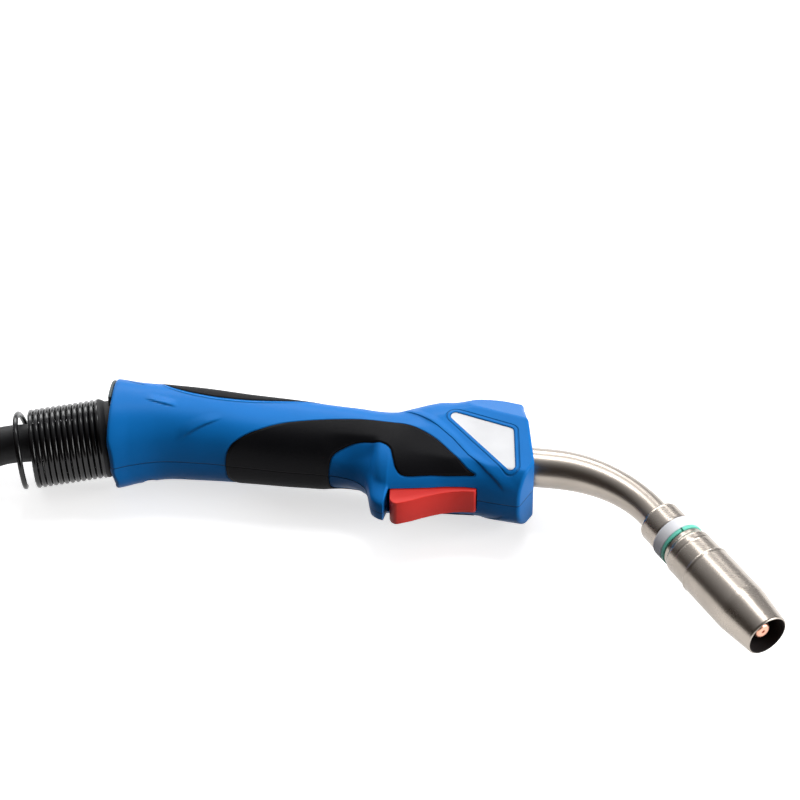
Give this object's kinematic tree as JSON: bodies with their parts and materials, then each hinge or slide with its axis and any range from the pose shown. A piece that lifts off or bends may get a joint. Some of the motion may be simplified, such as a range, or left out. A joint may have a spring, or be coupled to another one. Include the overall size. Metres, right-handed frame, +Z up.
{
  "type": "mig welding torch",
  "caption": "Handheld welding torch with two-part grip, trigger, bent neck and gas nozzle, on a sprung lead ending in a quick connector.",
  "frame": {"origin": "centre of the torch's footprint on the table, without its lead", "axes": "+X along the handle towards its front, +Y away from the trigger, +Z up from the table, out of the label side"},
  "size_m": [0.6774, 0.2357, 0.0529],
  "materials": {
    "blue_shell": "satin moulded nylon",
    "soft_grip": "matt soft-touch",
    "label": "smooth",
    "black_screw": "black oxide",
    "collar_grey": "satin",
    "sleeve_rubber": "matt",
    "spring_black": "gloss black plastic coat",
    "trigger_red": "satin gloss",
    "steel": "bright",
    "switch_black": "satin",
    "brass": "turned",
    "copper": "turned copper",
    "neck_nickel": "nickel plate",
    "nickel": "satin nickel plate",
    "insulator": "satin",
    "seal_teal": "satin",
    "lead_black": "matt",
    "connector_black": "moulded"
  },
  "bodies": {
    "torch": {"handle_shell_label_side": "blue_shell", "handle_shell_table_side": "blue_shell", "grip_inlay_label_side": "soft_grip", "grip_inlay_table_side": "soft_grip", "spine_inlay_label_side": "soft_grip", "spine_inlay_table_side": "soft_grip", "label_plate": "label", "shell_screws": "black_screw", "rear_collar": "collar_grey", "cable_sleeve": "sleeve_rubber", "support_spring": "spring_black", "trigger_pin": "steel", "trigger_spring": "steel", "switch_body": "switch_black", "switch_terminals": "brass", "power_block": "brass", "block_nut": "brass", "cable_crimp": "copper", "neck_tube": "neck_nickel", "neck_ferrule": "nickel", "insulating_ring": "insulator", "seal_ring": "seal_teal", "nozzle_holder": "nickel", "gas_diffuser": "brass", "nozzle_spring": "steel", "tip_holder": "brass", "contact_tip": "copper", "wire_liner": "steel", "lead_start": "lead_black", "lead_coil": "lead_black", "lead_end": "lead_black", "connector_boot": "sleeve_rubber", "connector_housing": "connector_black", "connector_flange": "connector_black", "brass_plug": "brass", "gas_nipple": "brass", "nipple_seal": "sleeve_rubber"},
    "trigger": {"trigger": "trigger_red"},
    "plunger": {"switch_plunger": "trigger_red"},
    "nozzle": {"gas_nozzle": "nickel"},
    "nut": {"connector_nut": "connector_black"},
    "pin_a": {"control_pin_a": "brass"},
    "pin_b": {"control_pin_b": "brass"}
  },
  "joints": [
    {"name": "trigger_hinge", "type": "hinge", "parent": "torch", "child": "trigger", "pos_m": [0.03516, 0.0119, 0.024], "axis": [0, 0, -1], "range_deg": [0, 6], "stiffness_Nm_per_rad": 1, "springref_deg": -4.58, "deforming": ["trigger_spring"]},
    {"name": "plunger_slide", "type": "slide", "parent": "torch", "child": "plunger", "axis": [0, 1, 0], "range_m": [0, 0.0015]},
    {"name": "nozzle_pull", "type": "slide", "parent": "torch", "child": "nozzle", "axis": [0.6428, -0.766, 0], "range_m": [0, 0.075]},
    {"name": "nut_turn", "type": "hinge", "parent": "torch", "child": "nut", "pos_m": [-0.471, 0.11171, 0.02672], "axis": [0, 0.9912, 0.1324], "continuous": true},
    {"name": "pin_a_slide", "type": "slide", "parent": "torch", "child": "pin_a", "axis": [0, -0.9912, -0.1324], "range_m": [0, 0.0025], "stiffness_N_per_m": 300, "springref_m": -0.003},
    {"name": "pin_b_slide", "type": "slide", "parent": "torch", "child": "pin_b", "axis": [0, -0.9912, -0.1324], "range_m": [0, 0.0025], "stiffness_N_per_m": 300, "springref_m": -0.003}
  ],
  "couplings": [
    {"joint": "plunger_slide", "follows": "trigger_hinge", "m_per_rad": 0.0143}
  ]
}
